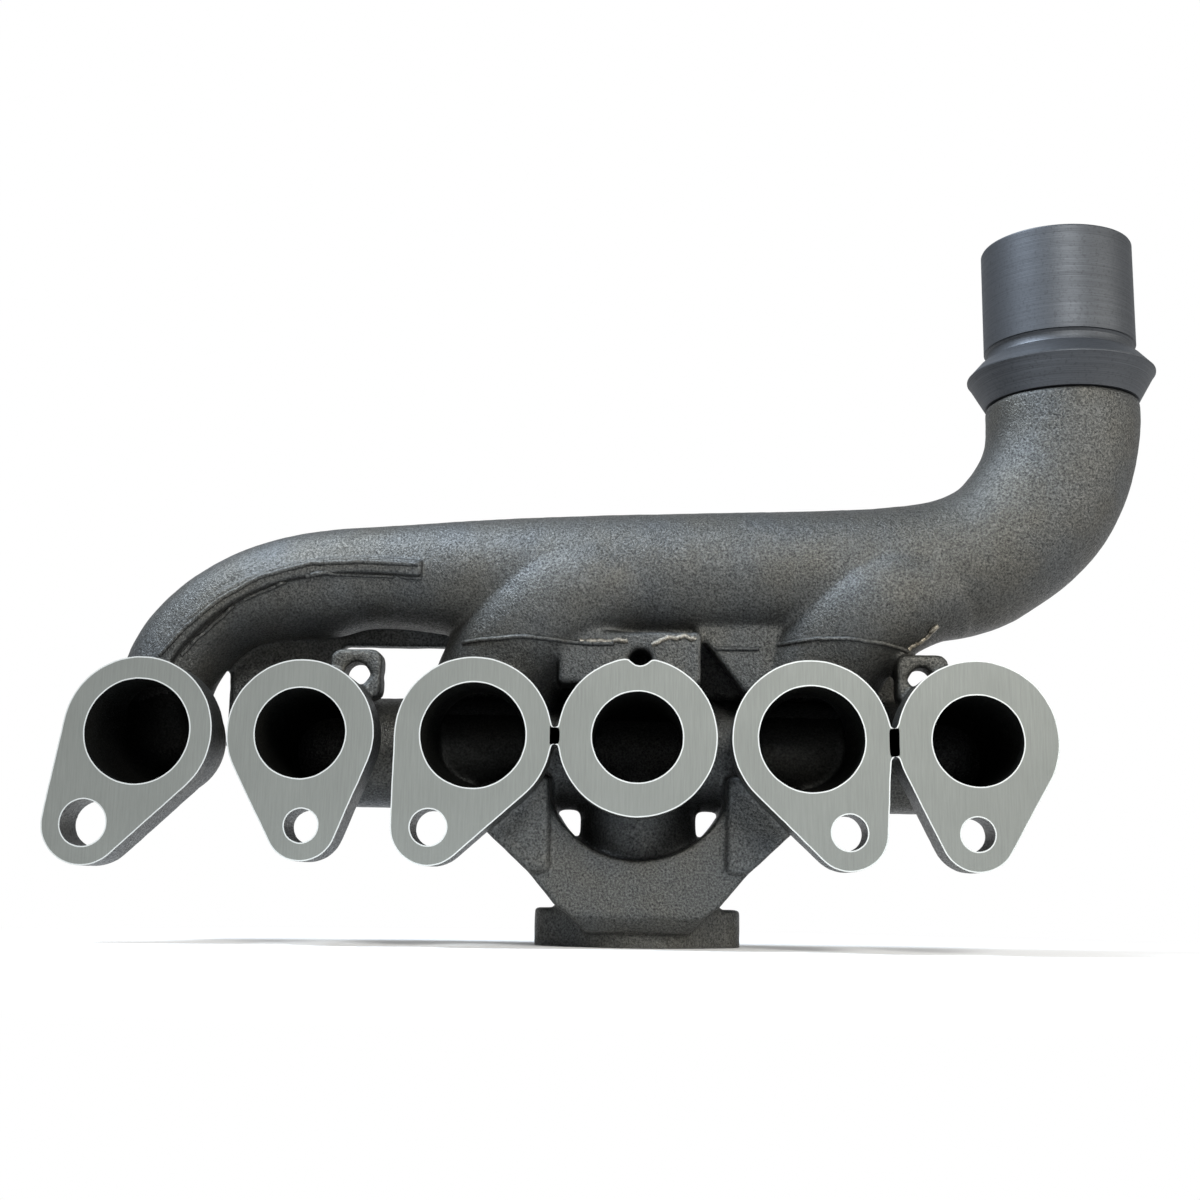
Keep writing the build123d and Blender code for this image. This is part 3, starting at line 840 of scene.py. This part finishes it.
class MANIFOLD_OT_outlet(bpy.types.Operator):
    """Turn the outlet collar and its spigot"""

    bl_idname = "manifold.outlet"
    bl_label = "Outlet"

    def execute(self, context):
        segments = context.scene.manifold_faces.segments
        collar_low, collar_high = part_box("outlet_collar")
        _, spigot_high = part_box("outlet_spigot")
        centre = (collar_low + collar_high) / 2
        rim = (collar_high.x - collar_low.x) / 2
        outer, bore = mount_radius("outlet_spigot"), mount_radius("outlet_bore")
        chamfer, edge = SPIGOT_CHAMFER, COLLAR_EDGE
        base, neck, top = collar_low.z, collar_high.z, spigot_high.z
        rim_z = base + RIM_HEIGHT
        collar = [
            (bore, base),
            (outer + 0.3 * MM, base),
            (rim - edge, rim_z - edge),
            (rim, rim_z),
            (rim, rim_z + edge),
            (rim - edge, rim_z + 2 * edge),
            *((outer + out * MM, neck - down * MM) for out, down in NECK_PROFILE),
            (outer, neck),
            (bore, neck),
        ]
        spigot = [
            (bore, neck),
            (outer, neck),
            (outer, top - chamfer),
            (outer - 0.3 * MM, top - 0.35 * chamfer),
            (outer - chamfer, top),
            (bore + chamfer, top),
            (bore, top - chamfer),
        ]
        materials = [finish_named("turned_iron")]
        for name, profile in (("outlet_collar", collar), ("outlet_spigot", spigot)):
            mesh = lathe(f"{name}_turned", profile, centre, segments)
            add_piece(mesh, [name], materials)
        return {"FINISHED"}


# Each light: its place from the casting's middle in metres, width, setting for its power, colour.
LIGHTS = {
    "key_light": ((-0.50, -0.25, 0.95), 0.50, "key_power", (0.80, 0.89, 1.0)),
    "front_light": ((0.25, -0.95, 0.55), 0.35, "front_power", (1.0, 0.99, 0.95)),
    "fill_light": ((0.90, -0.50, 0.15), 0.60, "fill_power", (1.0, 0.95, 0.86)),
}
CAMERA_PLACE = (-0.00044, -0.57607, -0.05498)
CAMERA_YAW, CAMERA_PITCH, CAMERA_ROLL = (math.radians(a) for a in (-1.37, 10.31, 0.82))
SENSOR_WIDTH = 36  # millimetres
FADE_START, FADE_END = 0.10, 0.34  # metres from the middle of the floor
FLOOR_GAP = 0.2 * MM


class MANIFOLD_OT_stage(bpy.types.Operator):
    """Set out the floor, the lights and the camera"""

    bl_idname = "manifold.stage"
    bl_label = "Stage"

    def execute(self, context):
        settings = context.scene.manifold_stage
        self.lay_floor(settings)
        self.light_surround(settings)
        middle = (CAD_LOW + CAD_HIGH) / 2
        for name, (offset, size, power, color) in LIGHTS.items():
            place = middle + Vector(offset)
            self.add_light(name, place, middle, size, getattr(settings, power), color)
        self.add_camera(settings)
        context.scene.view_settings.view_transform = "Standard"
        return {"FINISHED"}

    def lay_floor(self, settings):
        half, z = settings.floor_size / 2, CAD_LOW.z - FLOOR_GAP
        corners = np.array([(-half, -half, z), (half, -half, z), (half, half, z), (-half, half, z)])
        mesh = mesh_from("floor", corners, np.array([[0, 1, 2, 3]]))
        material = bpy.data.materials.new("pale_floor")
        material.use_nodes = True
        shader = material.node_tree.nodes["Principled BSDF"]
        shader.inputs["Base Color"].default_value = (*settings.floor_color, 1)
        shader.inputs["Roughness"].default_value = 0.9
        shader.inputs["Specular IOR Level"].default_value = 0.1
        self.fade_to_white(material.node_tree, shader)
        mesh.materials.append(material)
        floor = bpy.data.objects.new("floor", mesh)
        bpy.context.scene.collection.objects.link(floor)

    def fade_to_white(self, tree, shader):
        """Away from the object the floor runs into the white backdrop without an edge."""
        place = tree.nodes.new("ShaderNodeTexCoord").outputs["Object"]
        length = tree.nodes.new("ShaderNodeVectorMath")
        length.operation = "LENGTH"
        tree.links.new(place, length.inputs[0])
        share = tree.nodes.new("ShaderNodeMapRange")
        share.interpolation_type = "SMOOTHSTEP"
        share.inputs["From Min"].default_value = FADE_START
        share.inputs["From Max"].default_value = FADE_END
        tree.links.new(length.outputs["Value"], share.inputs["Value"])
        white = tree.nodes.new("ShaderNodeEmission")
        mixed = tree.nodes.new("ShaderNodeMixShader")
        tree.links.new(share.outputs["Result"], mixed.inputs["Fac"])
        tree.links.new(shader.outputs["BSDF"], mixed.inputs[1])
        tree.links.new(white.outputs["Emission"], mixed.inputs[2])
        tree.links.new(mixed.outputs["Shader"], tree.nodes["Material Output"].inputs["Surface"])

    def light_surround(self, settings):
        """A white backdrop that lights the object less than it shows."""
        world = bpy.data.worlds.new("studio")
        world.use_nodes = True
        tree = world.node_tree
        seen = tree.nodes["Background"]
        seen.inputs["Color"].default_value = (1, 1, 1, 1)
        given = tree.nodes.new("ShaderNodeBackground")
        given.inputs["Color"].default_value = (0.96, 0.98, 1.0, 1)
        given.inputs["Strength"].default_value = settings.world_light
        path, mixed = tree.nodes.new("ShaderNodeLightPath"), tree.nodes.new("ShaderNodeMixShader")
        tree.links.new(path.outputs["Is Camera Ray"], mixed.inputs["Fac"])
        tree.links.new(given.outputs["Background"], mixed.inputs[1])
        tree.links.new(seen.outputs["Background"], mixed.inputs[2])
        tree.links.new(mixed.outputs["Shader"], tree.nodes["World Output"].inputs["Surface"])
        bpy.context.scene.world = world

    def add_light(self, name, place, target, size, power, color):
        data = bpy.data.lights.new(name, "AREA")
        data.shape, data.size, data.energy, data.color = "DISK", size, power, color
        light = bpy.data.objects.new(name, data)
        aim = (place - target).to_track_quat("Z", "Y")
        light.matrix_world = Matrix.Translation(place) @ aim.to_matrix().to_4x4()
        bpy.context.scene.collection.objects.link(light)

    def add_camera(self, settings):
        yaw, pitch, roll = CAMERA_YAW, CAMERA_PITCH, CAMERA_ROLL
        ahead = Vector((math.sin(yaw) * math.cos(pitch), math.cos(yaw) * math.cos(pitch), math.sin(pitch)))
        level = Vector((math.cos(yaw), -math.sin(yaw), 0))
        upright = level.cross(ahead)
        right = math.cos(roll) * level + math.sin(roll) * upright
        up = math.cos(roll) * upright - math.sin(roll) * level
        data = bpy.data.cameras.new("camera")
        data.lens, data.sensor_width = settings.focal_length, SENSOR_WIDTH
        data.clip_start = 0.01
        camera = bpy.data.objects.new("camera", data)
        turn = Matrix((right, up, -ahead)).transposed().to_4x4()
        camera.matrix_world = Matrix.Translation(CAMERA_PLACE) @ turn
        bpy.context.scene.collection.objects.link(camera)
        bpy.context.scene.camera = camera


OPERATORS = (
    MANIFOLD_OT_stage,
    MANIFOLD_OT_exhaust_side,
    MANIFOLD_OT_intake_side,
    MANIFOLD_OT_heat_box,
    MANIFOLD_OT_lugs_and_webs,
    MANIFOLD_OT_flash,
    MANIFOLD_OT_port_flanges,
    MANIFOLD_OT_carburettor_flange,
    MANIFOLD_OT_outlet,
)
SETTINGS = {
    "manifold_skin": SkinSettings,
    "manifold_faces": FaceSettings,
    "manifold_stage": StageSettings,
}


class MANIFOLD_PT_sidebar(bpy.types.Panel):
    """Lists the steps that build the manifold"""

    bl_label = "Cast Manifold"
    bl_idname = "MANIFOLD_PT_sidebar"
    bl_space_type = "VIEW_3D"
    bl_region_type = "UI"
    bl_category = "Manifold"

    def draw(self, context):
        for name, group in SETTINGS.items():
            box = self.layout.box()
            for setting in group.__annotations__:
                box.prop(getattr(context.scene, name), setting)
        for operator in OPERATORS:
            self.layout.operator(operator.bl_idname)


def register():
    for kind in (*SETTINGS.values(), *OPERATORS, MANIFOLD_PT_sidebar):
        bpy.utils.register_class(kind)
    for name, group in SETTINGS.items():
        setattr(bpy.types.Scene, name, PointerProperty(type=group))


def unregister():
    for name in SETTINGS:
        delattr(bpy.types.Scene, name)
    for kind in (MANIFOLD_PT_sidebar, *reversed(OPERATORS), *reversed(list(SETTINGS.values()))):
        bpy.utils.unregister_class(kind)


def main():
    register()
    for operator in OPERATORS:
        group, step = operator.bl_idname.split(".")
        getattr(getattr(bpy.ops, group), step)()


if __name__ == "__main__":
    main()
